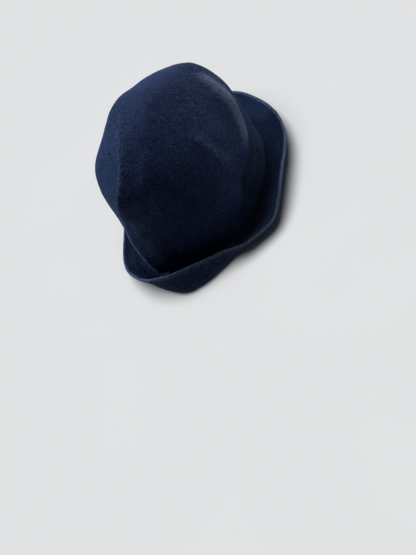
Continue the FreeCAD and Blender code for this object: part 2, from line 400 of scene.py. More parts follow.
SHADE_SHARE = 0.35                # the colour of the painted shade, as a share of the felt's dark shade
PATCHINESS = 0.9                 # how much the grains break up the edge of a painted highlight
STRAY_SHARE, EDGE_SHARE = 0.5, 0.4      # how pale stray fibres get, and sharp edges, which are partly fuzz and partly a painted highlight


def felt_material(name, dark, light, fleck_and_highlight):
    """Matted wool felt: clumped fibres, a nap brushed down the crown, stray pale fibres, pale edges that are
    partly fuzz and partly a painted highlight, and painted shade and painted highlight from the mesh's
    painted-light values.
    """
    material, tree, shader = new_material(name)
    place = node(tree, "ShaderNodeTexCoord").outputs["Object"]
    brushed = node(tree, "ShaderNodeMapping", {"Vector": place, "Scale": (1.0, 1.0, 0.5)}).outputs[0]
    clouds = noise(tree, place, 24.0)
    clumps = noise(tree, place, 330.0, detail=2.0, distortion=0.4)
    grains = noise(tree, place, 520.0, detail=2.0, roughness=0.6, distortion=0.8)
    fibres = noise(tree, brushed, 1500.0, detail=4.0, roughness=0.7, distortion=3.0)
    strays = noise(tree, brushed, 620.0, detail=2.0, distortion=6.0)

    # Clumped fibres in two near shades, under slow clouds.
    matted = weighted_sum(tree, [(clumps, 0.35), (grains, 0.45), (fibres, 0.2)])
    body = ramp(tree, matted, [(0.42, dark), (0.58, light)])
    cloudy = ramp(tree, clouds, [(0.3, 0.82), (0.7, 1.16)])
    colour = mix_colour(tree, 1.0, body, cloudy, "MULTIPLY")

    # Painted shade darkens the felt where the painted-light value is low, and a painted highlight makes it
    # pale in patches where it is high.
    painted_light = node(tree, "ShaderNodeAttribute", attribute_name="painted_light").outputs["Fac"]
    broken = maths(tree, "MULTIPLY", maths(tree, "SUBTRACT", grains, 0.5), PATCHINESS)
    patchy = maths(tree, "ADD", painted_light, broken)
    painted_shade = tuple(part * SHADE_SHARE for part in dark)
    colour = mix_colour(tree, ramp(tree, painted_light, [(0.0, 0.75), (0.5, 0.0)]), colour, painted_shade)
    colour = mix_colour(tree, ramp(tree, patchy, [(0.56, 0.0), (1.2, 0.9)]), colour, fleck_and_highlight)

    # Stray fibres are pale, and so are sharp edges: partly fuzz, partly a painted highlight.
    edges = node(tree, "ShaderNodeNewGeometry").outputs["Pointiness"]
    for source, start, full, share in ((strays, 0.6, 0.7, STRAY_SHARE), (edges, 0.53, 0.62, EDGE_SHARE)):
        pale = maths(tree, "MULTIPLY", ramp(tree, source, [(start, 0.0), (full, 1.0)]), share)
        colour = mix_colour(tree, pale, colour, fleck_and_highlight)

    tree.links.new(colour, shader.inputs["Base Color"])
    tree.links.new(ramp(tree, fibres, [(0.3, 0.84), (0.7, 1.0)]), shader.inputs["Roughness"])
    shader.inputs["Specular IOR Level"].default_value = 0.1
    shader.inputs["Specular Tint"].default_value = (0.3, 0.5, 1.0, 1)
    shader.inputs["Sheen Weight"].default_value = 0.15
    shader.inputs["Sheen Roughness"].default_value = 0.4
    shader.inputs["Sheen Tint"].default_value = (0.25, 0.42, 1.0, 1)
    coarse = bump(tree, clumps, strength=1.0, distance=0.004)
    coarse = bump(tree, grains, strength=1.0, distance=0.006, under=coarse)
    fine = bump(tree, fibres, strength=0.6, distance=0.0005, under=coarse)
    tree.links.new(fine, shader.inputs["Normal"])
    return material


def thread_material(name, dark, light, scale, stretch=(1.0, 1.0, 1.0), roughness=0.6, sheen=0.2,
                    depth=0.0001):
    """Spun or woven thread: fine fibres, stretched along the yarn, in two near shades."""
    material, tree, shader = new_material(name)
    place = node(tree, "ShaderNodeTexCoord").outputs["Object"]
    along = node(tree, "ShaderNodeMapping", {"Vector": place, "Scale": stretch}).outputs[0]
    fibres = noise(tree, along, scale, detail=4.0, roughness=0.6, distortion=0.6)
    pale_and_dark = ramp(tree, noise(tree, place, 45.0), [(0.3, 0.88), (0.7, 1.1)])
    shades = ramp(tree, fibres, [(0.32, dark), (0.68, light)])
    tree.links.new(mix_colour(tree, 1.0, shades, pale_and_dark, "MULTIPLY"), shader.inputs["Base Color"])
    shader.inputs["Roughness"].default_value = roughness
    shader.inputs["Sheen Weight"].default_value = sheen
    tree.links.new(bump(tree, fibres, strength=0.5, distance=depth), shader.inputs["Normal"])
    return material


navy_felt = felt_material("navy_wool_felt", dark=(0.0022, 0.0051, 0.017), light=(0.0096, 0.0195, 0.061),
                          fleck_and_highlight=(0.105, 0.132, 0.205))
band_ribbon = thread_material("grosgrain_ribbon", (0.004, 0.005, 0.011), (0.017, 0.02, 0.036), 1100.0,
                              stretch=(1.0, 1.0, 0.15), roughness=0.5, sheen=0.3)
felt_thread = thread_material("navy_thread", (0.002, 0.004, 0.011), (0.008, 0.013, 0.03), 2600.0)
trim_thread = thread_material("grey_thread", (0.09, 0.095, 0.11), (0.26, 0.27, 0.3), 2600.0)
label_cloth = thread_material("woven_label_cloth", (0.42, 0.38, 0.31), (0.6, 0.56, 0.48), 1500.0,
                              stretch=(0.2, 0.2, 1.0), roughness=0.7)
label_border = thread_material("woven_label_border", (0.02, 0.026, 0.05), (0.05, 0.06, 0.1), 1500.0,
                               stretch=(0.2, 0.2, 1.0), roughness=0.7)
tag_satin = thread_material("tag_satin", (0.66, 0.66, 0.64), (0.84, 0.84, 0.82), 1200.0,
                            stretch=(1.0, 1.0, 0.1), roughness=0.32, sheen=0.1, depth=0.00005)


# ---------------------------------------------------------------- crown
CROWN_AROUND = 420
CROWN_ROWS = 220
TIP_SHARE = 0.992                # the rows stop just short of the tip
SEAM_STITCHES, SEAM_STITCH_LONG, SEAM_STITCH_HEIGHT = 72, 3.2, 4.5


def crown_base():
    """The crown's plain outer surface, rows from the lower edge to near its tip."""
    spread = np.hypot(np.diff(CROWN_LEVELS[:, 0]), np.diff(CROWN_LEVELS[:, 3:5].mean(axis=1)))
    knots = np.concatenate([[0], np.cumsum(spread)])
    places = np.linspace(0, knots[-1] * TIP_SHARE, CROWN_ROWS)
    height, middle_x, middle_y, half_x, half_y = through(knots, CROWN_LEVELS, places).T
    angles = np.arange(CROWN_AROUND) * 2 * math.pi / CROWN_AROUND
    grid = np.empty((CROWN_ROWS, CROWN_AROUND, 3))
    grid[..., 0] = middle_x[:, None] + half_x[:, None] * np.cos(angles)
    grid[..., 1] = middle_y[:, None] + half_y[:, None] * np.sin(angles)
    grid[..., 2] = height[:, None]
    return grid


# Folds of the soft crown, as lines on its surface.
# The fold down the back, from the top to the brim, and a second one beside it:
SIDE_CREASE = [(40, -28, 146), (24, -10, 157), (12, 11, 160), (3, 35, 157), (-2, 55, 149),
               (-3, 73, 138), (6, 86, 119), (20, 88, 95), (29, 89, 76), (32, 92, 58), (30, 96, 40),
               (22, 101, 21), (12, 106, 2)]
SECOND_FOLD = [(-28, 25, 151), (-32, 39, 145), (-33, 57, 136), (-30, 73, 121), (-18, 84, 96), (2, 93, 64)]
FOLD_HOLLOW = [(40, 80, 76), (47, 80, 58), (48, 84, 42), (44, 90, 28), (38, 95, 16), (30, 100, 6)]
# The ridge from the top round to the wearer's right, the line of its painted highlight, and the hollows below
# it:
TOP_RIDGE = [(-28, -81, 131), (-42, -78, 125), (-54, -75, 117), (-63, -70, 105), (-69, -66, 89),
             (-73, -60, 73), (-77, -50, 60), (-80, -36, 53), (-82, -18, 50), (-82, 2, 49)]
RIDGE_HIGHLIGHT = [(-26, -83, 131), (-42, -80, 124), (-55, -75, 116), (-64, -70, 103), (-69, -64, 88),
             (-74, -57, 73), (-77, -47, 61), (-80, -34, 54), (-82, -22, 52)]
SIDE_HOLLOW = [(-50, -94, 80), (-66, -80, 62), (-76, -64, 48), (-82, -42, 38), (-84, -20, 34),
               (-83, 4, 32), (-78, 28, 28)]
WAIST = [(-70, -60, 22), (-76, -50, 22), (-80, -25, 21), (-80, -3, 19), (-78, 14, 18), (-74, 32, 17),
         (-66, 52, 17), (-57, 70, 17)]
FOOT_HOLLOW = [(-66, -66, 14), (-80, -34, 16), (-83, -6, 16), (-80, 22, 15), (-71, 48, 12)]
# A slight fold down the wearer's right side:
CROSS_FOLD = [(-56, -1, 133), (-67, 1, 122), (-73, 3, 108), (-78, 4, 94), (-82, 4, 78), (-84, -1, 61)]

# Broad swells and dents: centre, height and spread.
SWELLS = [
    ((8, 92, 92), 2.5, (13, 13, 26)),
    ((-86, -34, 72), -4.0, (30, 46, 26)),
    ((-64, -42, 100), -4.0, (18, 18, 22)),
    ((-15, -98, 120), 3.0, (26, 22, 22)),
    ((-46, -84, 100), 3.0, (26, 24, 30)),
    ((40, -26, 147), 6.0, (18, 26, 18)),
    ((43, 46, 137), 3.5, (20, 22, 18)),
]
# Up to ROOM_TOP the crown may go in by ROOM, so that it clears the band; above, by ROOM_GAIN more a mm.
ROOM, ROOM_TOP, ROOM_GAIN = 3.0, 27.0, 0.6
# The heights between which folds, hollows and lumps come in, and the part behind the band ends.
FOLD_RISE, HOLLOW_RISE, LUMP_RISE, BAND_RISE = (0, 6), (8, 20), (8, 40), (24, 38)
SLOW_HEIGHT, MID_HEIGHT, SMALL_HEIGHT = 0.5, 0.14, 0.05      # of the crown's outer lumps
INSIDE_HEIGHT = 0.12                                         # and its inner ones
PUCKER_DEPTH, PUCKER_SPREAD = 0.25, 3.0
# The painted-light value of felt with neither painted shade nor a painted highlight.
NEUTRAL_LIGHT = 0.5


def crown_painted_light(points):
    """Painted light on the crown: a painted highlight on its ridges and its fold, and painted shade in its
    hollows.
    """
    painted_light = NEUTRAL_LIGHT + fold(points, RIDGE_HIGHLIGHT, (0.3, 0.4, 0.55, 0.65, 0.55, 0.25), 8.5)
    painted_light += fold(points, CROSS_FOLD, 0.1, 7.0)
    painted_light += fold(points, SIDE_CREASE, (0, 0, 0, 0, 0, 0, 0.4, 0.7, 0.8), 2.5, fade=(0.2, 0.001))
    painted_light += fold(points, SIDE_CREASE, (0.05, 0.1, 0.12, 0.12, 0.1, 0, 0), 4.0)
    painted_light += fold(points, FOOT_HOLLOW, -0.4, 14.0)
    painted_light += fold(points, SIDE_HOLLOW, (0, -0.3, -0.7, -0.8, -0.8, -0.6), 13.0)
    return painted_light + fold(points, FOLD_HOLLOW, (0, -0.1, -0.4, -0.5), 8.0)


def crown_relief(points):
    """How far the soft felt stands out from the plain crown."""
    height = points[..., 2]
    relief = fold(points, SIDE_CREASE, (2.5, 3, 3, 3, 3, 3.4, 4, 8, 9), 11.0, crest=1.6, fade=(0.05, 0.001))
    relief += fold(points, SECOND_FOLD, 2.6, 9.0)
    relief += fold(points, FOLD_HOLLOW, (-2, -4, -5, -5, -5, -5), 9.0)
    relief += fold(points, TOP_RIDGE, (2, 4, 6, 6, 5, 3), 9.0, crest=3.0)
    relief += fold(points, CROSS_FOLD, 2.0, 8.0)
    relief += fold(points, WAIST, -3.2, 9.0)
    relief += fold(points, SIDE_HOLLOW, (-5, -7, -8, -8, -7, -4), 17.0)
    for centre, tall, spread in SWELLS:
        relief += swell(points, centre, tall, spread)
    relief = np.maximum(relief, -ROOM - ROOM_GAIN * np.maximum(height - ROOM_TOP, 0))
    relief *= np.where(relief > 0, smoothstep(*FOLD_RISE, height), smoothstep(*HOLLOW_RISE, height))
    lumps = SLOW_HEIGHT * slow_lumps(points) + MID_HEIGHT * mid_lumps(points)
    relief += smoothstep(*LUMP_RISE, height) * lumps
    relief += SMALL_HEIGHT * small_lumps(points)
    turn = np.arctan2(points[..., 1] / HALF_LENGTH, points[..., 0] / HALF_WIDTH)
    puckers = 0.5 + 0.5 * np.cos(SEAM_STITCHES * turn)
    by_seam = np.exp(-(((height - SEAM_STITCH_HEIGHT) / PUCKER_SPREAD) ** 2))
    return relief - PUCKER_DEPTH * puckers * by_seam


def shell_rings(outer, inner, steps=4):
    """Rings from the inner tip down the inside, round the lower edge and up the outside."""
    middle = (outer[0] + inner[0]) / 2
    half = (outer[0] - inner[0]) / 2
    down = np.array([0, 0, -np.linalg.norm(half, axis=1).mean()])
    rim = [middle - half * math.cos(math.pi * step / steps) + down * math.sin(math.pi * step / steps)
           for step in range(1, steps)]
    return np.concatenate([inner[::-1], np.array(rim), outer])


def build_crown():
    """The felt crown: a closed shell with an outer and an inner face."""
    base = crown_base()
    outward = surface_normals(base)
    outer = base + outward * crown_relief(base)[..., None]
    normals = surface_normals(outer)
    inner = outer - normals * FELT
    inner += normals * (INSIDE_HEIGHT * mid_lumps(inner))[..., None]
    # Behind the band the felt's thickness is set off along the plain crown's normals, because off the
    # steep fold's own normals the inner face would reach the ribbon.
    behind_band = 1 - smoothstep(*BAND_RISE, base[..., 2:])
    inner += behind_band * (outer - outward * FELT - inner)
    inner[0, :, 2] = outer[0, :, 2] = FELT / 2
    rings = shell_rings(outer, inner)
    tips = np.array([inner[-1].mean(axis=0), outer[-1].mean(axis=0)])
    points = np.concatenate([rings.reshape(-1, 3), tips])
    faces = ring_faces(len(rings), CROWN_AROUND)
    outer_tip = len(points) - 1
    inner_tip = outer_tip - 1
    last = (len(rings) - 1) * CROWN_AROUND
    for place in range(CROWN_AROUND):
        after = (place + 1) % CROWN_AROUND
        faces.append((after, place, inner_tip))
        faces.append((last + place, last + after, outer_tip))
    # Painted light and shade on the crown's outer and inner faces, neutral round its lower edge.
    pale_and_dark = crown_painted_light(base)
    rim_painted_light = np.full((len(rings) - 2 * len(pale_and_dark), CROWN_AROUND), NEUTRAL_LIGHT)
    painted_light = np.append(np.concatenate([pale_and_dark[::-1], rim_painted_light, pale_and_dark]).ravel(), [NEUTRAL_LIGHT, NEUTRAL_LIGHT])
    return make_piece("felt_crown", points, faces, navy_felt, "hat", ["crown"], painted_light)


# ---------------------------------------------------------------- brim
BRIM_AROUND = 560
BRIM_STEPS = 70
EDGE_STEPS = 6
COLLAR_ROWS = 5
BEND_ROWS = 6
BEND_TOP = BEND_RADIUS * 0.25           # the height where the collar meets the bend
EDGE_GAIN = 0.4                         # how much thicker the felt gets at its free edge
# Painted light on the brim: a little painted shade over its upper face, and a painted highlight towards its
# free edge and on its cut edge.
BRIM_SHADE, BRIM_EDGE_HIGHLIGHT, CUT_HIGHLIGHT = 0.42, 0.35, 0.85
# Where painted shade lies on the brim's upper face: the turn round the head, its spread and its depth.
SHADED_PLACES = [(0.17, 0.065, 1.0), (0.42, 0.12, 1.2)]
# How much of the way from the collar to the edge it takes for the lumps, the painted shade, the thicker felt
# and the painted highlight at the edge to come in: start and end.
LUMPS_IN, SHADE_IN, THICK_IN, EDGE_HIGHLIGHT_IN = (0.1, 0.6), (0.08, 0.2), (0.86, 0.98), (0.93, 1.0)
BRIM_SLOW_HEIGHT, BRIM_MID_HEIGHT, BRIM_SMALL_HEIGHT = 0.7, 0.18, 0.1


def brim_middle(turns):
    """The middle of the felt: for each place round the head, reach, height and lean, collar to edge."""
    width, slope, edge_slope = (round_the_head(BRIM_PLACES[:, column], turns) for column in range(3))
    slope, edge_slope = np.radians(slope), np.radians(edge_slope)
    down = -math.pi / 2
    collar_reach = -1.5 * FELT - COLLAR_GAP
    reach, height, lean = [], [], []
    for step in range(COLLAR_ROWS):
        reach.append(np.full_like(turns, collar_reach))
        height.append(np.full_like(turns, COLLAR_RISE + (BEND_TOP - COLLAR_RISE) * step / COLLAR_ROWS))
        lean.append(np.full_like(turns, down))
    for step in range(BEND_ROWS):
        angle = down + (slope - down) * step / (BEND_ROWS - 1)
        reach.append(collar_reach + BEND_RADIUS * (1 + np.sin(angle)))
        height.append(BEND_TOP - BEND_RADIUS * np.cos(angle))
        lean.append(angle)
    for step in range(1, BRIM_STEPS + 1):
        part = (step - 0.5) / BRIM_STEPS
        ease = float(smoothstep(ROLL_START, ROLL_END, part))
        angle = slope + (edge_slope - slope) * ease
        reach.append(reach[-1] + np.cos(angle) * width / BRIM_STEPS)
        height.append(height[-1] + np.sin(angle) * width / BRIM_STEPS)
        lean.append(angle)
    return np.array(reach), np.array(height), np.array(lean)


def build_brim():
    """The felt brim: two faces set off from its middle, joined round its collar and its free edge."""
    angles = np.arange(BRIM_AROUND) * 2 * math.pi / BRIM_AROUND
    turns = angles / (2 * math.pi)
    foot, out = oval(0.0, angles, 0 * angles)
    reach, height, lean = brim_middle(turns)
    middle = foot + out * reach[..., None] + UP * height[..., None]
    normal = UP * np.cos(lean)[..., None] - out * np.sin(lean)[..., None]
    along = np.linspace(0, 1, len(middle))
    lumps = BRIM_SLOW_HEIGHT * slow_lumps(middle) + BRIM_MID_HEIGHT * mid_lumps(middle)
    middle += normal * (smoothstep(*LUMPS_IN, along)[:, None] * lumps)[..., None]
    half = FELT / 2 * (1 + EDGE_GAIN * smoothstep(*THICK_IN, along))[:, None, None]
    upper, lower = middle + normal * half, middle - normal * half
    upper += normal * (BRIM_SMALL_HEIGHT * small_lumps(upper))[..., None]

    def onward(row):
        """Away from the felt, along its surface, at its first or last row."""
        away = np.cross(np.roll(middle[row], -1, 0) - np.roll(middle[row], 1, 0), normal[row])
        away /= np.linalg.norm(away, axis=1, keepdims=True)
        inward = middle[row] - middle[1 if row == 0 else row - 1]
        return away * np.sign((away * inward).sum(axis=1, keepdims=True))

    def rim(row, side):
        """The rounded cut edge, from one face of the felt to the other."""
        size = half[row, 0, 0]
        face, away = side * normal[row] * size, onward(row) * size
        sweep = [math.pi * step / EDGE_STEPS for step in range(1, EDGE_STEPS)]
        return [middle[row] + face * math.cos(angle) + away * math.sin(angle) for angle in sweep]

    rings = np.concatenate([upper, np.array(rim(-1, 1)), lower[::-1], np.array(rim(0, -1))])
    # Painted light: painted shade over the upper face, deepest at the shaded places, and a painted highlight
    # towards the free edge, on the cut edge and at the lower face's edge.
    edge = smoothstep(*EDGE_HIGHLIGHT_IN, along)[:, None] + 0 * angles
    painted_shade = sum(depth * np.exp(-((turns - place) / spread) ** 2) for place, spread, depth in SHADED_PLACES)
    painted_shade = painted_shade * smoothstep(*SHADE_IN, along)[:, None] * (1 - 0.6 * edge)
    upper_painted_light = BRIM_SHADE * (1 - painted_shade) + BRIM_EDGE_HIGHLIGHT * edge
    lower_painted_light = NEUTRAL_LIGHT + 0.3 * edge
    cut = np.ones((EDGE_STEPS - 1, BRIM_AROUND))
    painted_light = np.concatenate([upper_painted_light, cut * CUT_HIGHLIGHT, lower_painted_light[::-1], cut * NEUTRAL_LIGHT])
    return make_piece("felt_brim", rings.reshape(-1, 3), ring_faces(len(rings), BRIM_AROUND, closed=True),
                      navy_felt, "hat", ["brim"], painted_light)


# ---------------------------------------------------------------- sweatband, its lap and its label
RIB = 0.95                      # from one rib of the ribbon to the next
RIB_HEIGHT = 0.13
RIB_COLUMNS = 4
SELVEDGE = 1.1                  # the ribbon's woven edge, where the ribs run out
FACE_ROWS = 12                  # rows of points between the ribbon's two edges
BACK_STEP = 5                   # its hidden back has one row for each five of its face
# Its upper edge isn't sewn: between these heights it comes free and leans out to the crown, and rises
# and falls a little.
LEAN, LEAN_RISE = 0.35, (10, 24)
WANDER, WANDER_RISE = 0.12, (20, 25)


def rib_relief(lengths, heights, foot, tall):
    """How far the ribs stand in from the ribbon's face: they run across it and end at its edges."""
    from_edge = np.minimum(heights - foot, foot + tall - heights)
    return RIB_HEIGHT * (0.5 + 0.5 * np.cos(2 * math.pi * lengths / RIB)) * smoothstep(0, SELVEDGE, from_edge)


def build_sweatband():
    """The ribbon ring: a ribbed face, a rounded top, a plain back and a rounded foot."""
    length = oval_lengths(BAND_FACE)[1][-1]
    columns = round(length / RIB) * RIB_COLUMNS
    angles = even_angles(BAND_FACE, columns)
    lengths = (np.arange(columns) + 0.5) * RIB / RIB_COLUMNS
    edge, top = BAND_THICK / 2, BAND_FOOT + BAND_DEPTH
    across = np.linspace(2 * SELVEDGE, BAND_DEPTH - 2 * SELVEDGE, FACE_ROWS)
    heights = BAND_FOOT + np.array([edge, SELVEDGE, *across, BAND_DEPTH - SELVEDGE, BAND_DEPTH - edge])
    turns = np.linspace(0.25, 0.75, 3) * math.pi
    sections = [(BAND_FACE, height, True) for height in heights]
    sections += [(BAND_INSET + edge * (1 + math.cos(turn)), top - edge * (1 - math.sin(turn)), False)
                 for turn in turns]
    sections += [(BAND_INSET, height, False) for height in heights[::-BACK_STEP]]
    sections += [(BAND_INSET + edge * (1 - math.cos(turn)), BAND_FOOT + edge * (1 - math.sin(turn)), False)
                 for turn in turns]
    rings = []
    for inset, height, ribbed in sections:
        points, out = oval(inset, angles, np.full(columns, height))
        if ribbed:
            points -= out * (rib_relief(lengths, height, BAND_FOOT, BAND_DEPTH) - RIB_HEIGHT)[:, None]
        points += out * (LEAN * smoothstep(*LEAN_RISE, height) * (1 + slow_lumps(points)))[:, None]
        points[:, 2] += WANDER * mid_lumps(points) * smoothstep(*WANDER_RISE, height)
        rings.append(points)
    band = make_piece("grosgrain_sweatband", np.array(rings).reshape(-1, 3),
                      ring_faces(len(rings), columns, closed=True), band_ribbon, "hat",
                      ["sweatband"])
    return band


def back_patch(sides, foot, tall, rows, thick, relief):
    """A slab of cloth on the band at the back of the hat, over the x of sides; relief adds to its face."""
    angles = math.pi / 2 - np.arcsin(sides / (HALF_WIDTH - PATCH_FACE))
    heights = foot + tall * np.linspace(0, 1, rows)[:, None]
    inner, out = oval(PATCH_FACE + thick, angles[None, :], heights)
    outer, _ = oval(PATCH_FACE, angles[None, :], heights)
    return inner - out * relief(sides[None, :], heights)[..., None], outer, out


TAIL_ROWS = 22
TURNED_UNDER = 0.28             # how much the end's turned-under layer adds to the lap's face
NOSE, NOSE_DEPTH = 0.9, 0.45    # its rounded end
SINK_LENGTH, SINK = 4.0, 0.8    # at its start it sinks into the ribbon by this share of its thickness


def build_tail():
    """The ribbon's end, turned under and lapped over its start."""
    columns = round(TAIL_LENGTH / RIB) * RIB_COLUMNS + 1
    start = TAIL_SIDE - TAIL_LENGTH

    def relief(sides, heights):
        turned_under = TURNED_UNDER * smoothstep(-6, -4.5, sides - TAIL_SIDE)
        return rib_relief(sides - start, heights, BAND_FOOT, BAND_DEPTH) - RIB_HEIGHT + turned_under

    inner, outer, out = back_patch(np.linspace(start, TAIL_SIDE, columns), BAND_FOOT, BAND_DEPTH, TAIL_ROWS,
                                   BAND_THICK, relief)
    lengths = np.linspace(0, TAIL_LENGTH, columns)[None, :, None]
    inner = inner + out * (BAND_THICK * SINK * smoothstep(SINK_LENGTH, 0, lengths))
    inner = inner + out * NOSE_DEPTH * np.clip((lengths - (TAIL_LENGTH - NOSE)) / NOSE, 0, 1) ** 2
    tail = make_piece("sweatband_lap", np.concatenate([inner.reshape(-1, 3), outer.reshape(-1, 3)]),
                      slab_faces(TAIL_ROWS, columns), band_ribbon, "hat", ["sweatband_tail"])
    return tail


LABEL_STITCH_INSET = 3.5
LABEL_STITCH_PLACES = [(share - 0.5) * (LABEL_LONG - 2 * LABEL_STITCH_INSET)
                       for share in (0, 0.2, 0.4, 0.6, 0.8, 1)]
LABEL_EDGE = 1.2
LABEL_SEAMS = (LABEL_FOOT + LABEL_EDGE, LABEL_FOOT + LABEL_TALL - LABEL_EDGE)
LABEL_COLUMNS, LABEL_ROWS = 139, 52
BORDER_INSET, BORDER_LINES = 2.6, ((0, 0.7), (1.2, 1.5))
PUFF, DIMPLE, LABEL_TURN = 0.168, 0.14, 0.14       # heights of its padding, stitch dimples and turned ends
WEAVE, WEAVE_STEP = 0.02, 0.66


def build_label():
    """A blank woven label: turned-under ends, a woven border line and puckers between its stitches."""
    low, high = LABEL_SEAMS

    def relief(sides, heights):
        from_end = LABEL_LONG / 2 - np.abs(sides)
        up = np.clip((heights - low) / (high - low), 0, 1)
        puff = smoothstep(0, 5, from_end) * np.sin(up * math.pi)
        dimples = sum(np.exp(-(((sides - x) / 2.2) ** 2 + ((heights - z) / 0.8) ** 2))
                      for x in LABEL_STITCH_PLACES for z in LABEL_SEAMS)
        turned_under = smoothstep(4.5, 3.8, from_end)
        weave = np.cos(2 * math.pi * heights / WEAVE_STEP)
        return PUFF * puff - DIMPLE * dimples + LABEL_TURN * turned_under + WEAVE * weave

    inner, outer, _ = back_patch(np.linspace(-LABEL_LONG / 2, LABEL_LONG / 2, LABEL_COLUMNS), LABEL_FOOT,
                                 LABEL_TALL, LABEL_ROWS, LABEL_THICK, relief)
    label = make_piece("blank_woven_label", np.concatenate([inner.reshape(-1, 3), outer.reshape(-1, 3)]),
                       slab_faces(LABEL_ROWS, LABEL_COLUMNS), label_cloth, "hat",
                       ["maker_label"])
    label.data.materials.append(label_border)
    middle_z = LABEL_FOOT + LABEL_TALL / 2
    for polygon in label.data.polygons:
        x, _, z = polygon.center / MM
        inset = min(LABEL_LONG / 2 - abs(x), LABEL_TALL / 2 - abs(z - middle_z)) - BORDER_INSET
        if any(start <= inset < end for start, end in BORDER_LINES):
            polygon.material_index = 1
    return label


# ---------------------------------------------------------------- care tag
TAG_X = HALF_WIDTH - PATCH_FACE - TAG_STAND
HINGE_HEIGHT = HEM_FOOT - TAG_GAP / 2
TAG_ROWS, TAG_COLUMNS = 61, 37
TAG_CURL, TAG_CUP = 2.2, 0.5    # how far its foot curls in, and its sides more than its middle
TAG_CREASE, CREASE_SPREAD = 0.25, 0.7


def build_tag():
    """A satin tag: its top is sewn flat to the band, and the rest hangs free and curls a little."""
    lowest = HEM_FOOT - TAG_GAP - TAG_LONG
    heights = np.linspace(HEM_FOOT + HEM_TALL, lowest, TAG_ROWS)[:, None]
    sides = np.linspace(-TAG_WIDE / 2, TAG_WIDE / 2, TAG_COLUMNS)[None, :]
    hang = smoothstep(HINGE_HEIGHT, lowest, heights)
    curl = TAG_CURL * hang**2 * (1 + 0.25 * sides / TAG_WIDE) + TAG_CUP * hang * (2 * sides / TAG_WIDE) ** 2
    crease = TAG_CREASE * np.exp(-(((heights - HINGE_HEIGHT) / CREASE_SPREAD) ** 2))
    face = np.empty((TAG_ROWS, TAG_COLUMNS, 3))
    face[..., 0] = TAG_X - curl + crease
    face[..., 1] = sides
    face[..., 2] = heights + 0.18 * curl
    back = face + np.array([TAG_THICK, 0, 0])
    tag = make_piece("satin_care_tag", np.concatenate([face.reshape(-1, 3), back.reshape(-1, 3)]),
                     slab_faces(TAG_ROWS, TAG_COLUMNS), tag_satin, None,
                     ["care_tag_hem", "care_tag"])
    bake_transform(tag)
    return tag


# ---------------------------------------------------------------- stitches
STITCH_SIDES, STITCH_RINGS = 8, 11
# In thread radii: how far a stitch's middle stands up on the ribbon, and when it is pulled into the felt,
# and how much lower and thinner its ends are.
RISE, SUNK_RISE = 0.25, -0.4
DIVE, TAPER = 1.2, 0.35
PLY_GROOVE, PLY_TWIST = 0.16, 4.0


def stitches(name, places, long, material, cad_node, rise=RISE):
    """Stitches of two-ply thread that arch over the cloth: places are (middle, along, out)."""
    points, faces = [], []
    steps = np.linspace(-1, 1, STITCH_RINGS)
    turns = np.arange(STITCH_SIDES) * 2 * math.pi / STITCH_SIDES
    for middle, along, out in places:
        across = np.cross(along, out)
        start = len(points)
        for step in steps:
            centre = middle + along * (step * long / 2) + out * THREAD * (rise - DIVE * step**4)
            ply = 1 + PLY_GROOVE * np.cos(2 * (turns - step * PLY_TWIST))
            thick = THREAD * (1 - TAPER * step**4)
            for turn, wide in zip(turns, ply):
                points.append(centre + (across * math.cos(turn) + out * math.sin(turn)) * thick * wide)
        faces += [tuple(start + corner for corner in quad) for quad in ring_faces(STITCH_RINGS, STITCH_SIDES)]
        last = start + (STITCH_RINGS - 1) * STITCH_SIDES
        faces.append(tuple(start + side for side in reversed(range(STITCH_SIDES))))
        faces.append(tuple(last + side for side in range(STITCH_SIDES)))
    return make_piece(name, points, faces, material, "hat", [cad_node])


def round_places(inset, count, height, upright):
    """Evenly spaced stitches round the head, upright or along it, on the outer or the inner face."""
    points, out = oval(inset, even_angles(inset, count), np.full(count, height))
    facing = 1 if inset < BAND_INSET else -1
    return [(point, UP if upright else np.cross(away, UP), facing * away) for point, away in zip(points, out)]


def back_places(inset, spots, upright):
    """Stitches at (x, height) spots on the inside of the back of the band."""
    made = []
    for x, height in spots:
        angle = math.pi / 2 - math.asin(x / (HALF_WIDTH - inset))
        point, away = oval(inset, np.array(angle), np.array(height))
        made.append((point, UP if upright else np.cross(away, UP), -away))
    return made


crown = build_crown()
brim = build_brim()
build_sweatband()
build_tail()
build_label()
build_tag()

BAND_STITCHES, BAND_STITCH_LONG, BAND_STITCH_HEIGHT = 70, 4.0, 3.0
LAP_STITCH_LONG, LABEL_STITCH_LONG = 3.0, 3.4
LAP_STITCH_INSET = 1.6
HEM_STITCH_GAP = 0.18 * TAG_WIDE
stitches("crown_seam_thread", round_places(0.0, SEAM_STITCHES, SEAM_STITCH_HEIGHT, upright=True),
         SEAM_STITCH_LONG, felt_thread, "crown_seam_stitches", rise=SUNK_RISE)
stitches("sweatband_thread", round_places(BAND_FACE, BAND_STITCHES, BAND_STITCH_HEIGHT, upright=False),
         BAND_STITCH_LONG, trim_thread, "sweatband_stitches")
lap_spots = [(TAIL_SIDE - LAP_STITCH_INSET, BAND_FOOT + BAND_DEPTH * share)
             for share in (0.14, 0.32, 0.5, 0.68, 0.86)]
stitches("sweatband_lap_thread", back_places(PATCH_FACE + BAND_THICK, lap_spots, upright=True),
         LAP_STITCH_LONG, trim_thread, "sweatband_tail_stitches")
label_spots = [(x, height) for height in LABEL_SEAMS for x in LABEL_STITCH_PLACES]
stitches("label_thread", back_places(PATCH_FACE + LABEL_THICK, label_spots, upright=False),
         LABEL_STITCH_LONG, trim_thread, "maker_label_stitches")
hem_places = [(np.array([TAG_X, step * HEM_STITCH_GAP, HEM_FOOT + HEM_TALL / 2]), np.array([0, 1.0, 0]),
               np.array([-1.0, 0, 0])) for step in range(-2, 3)]
stitches("care_tag_thread", hem_places, LABEL_STITCH_LONG, trim_thread, "care_tag_stitches")


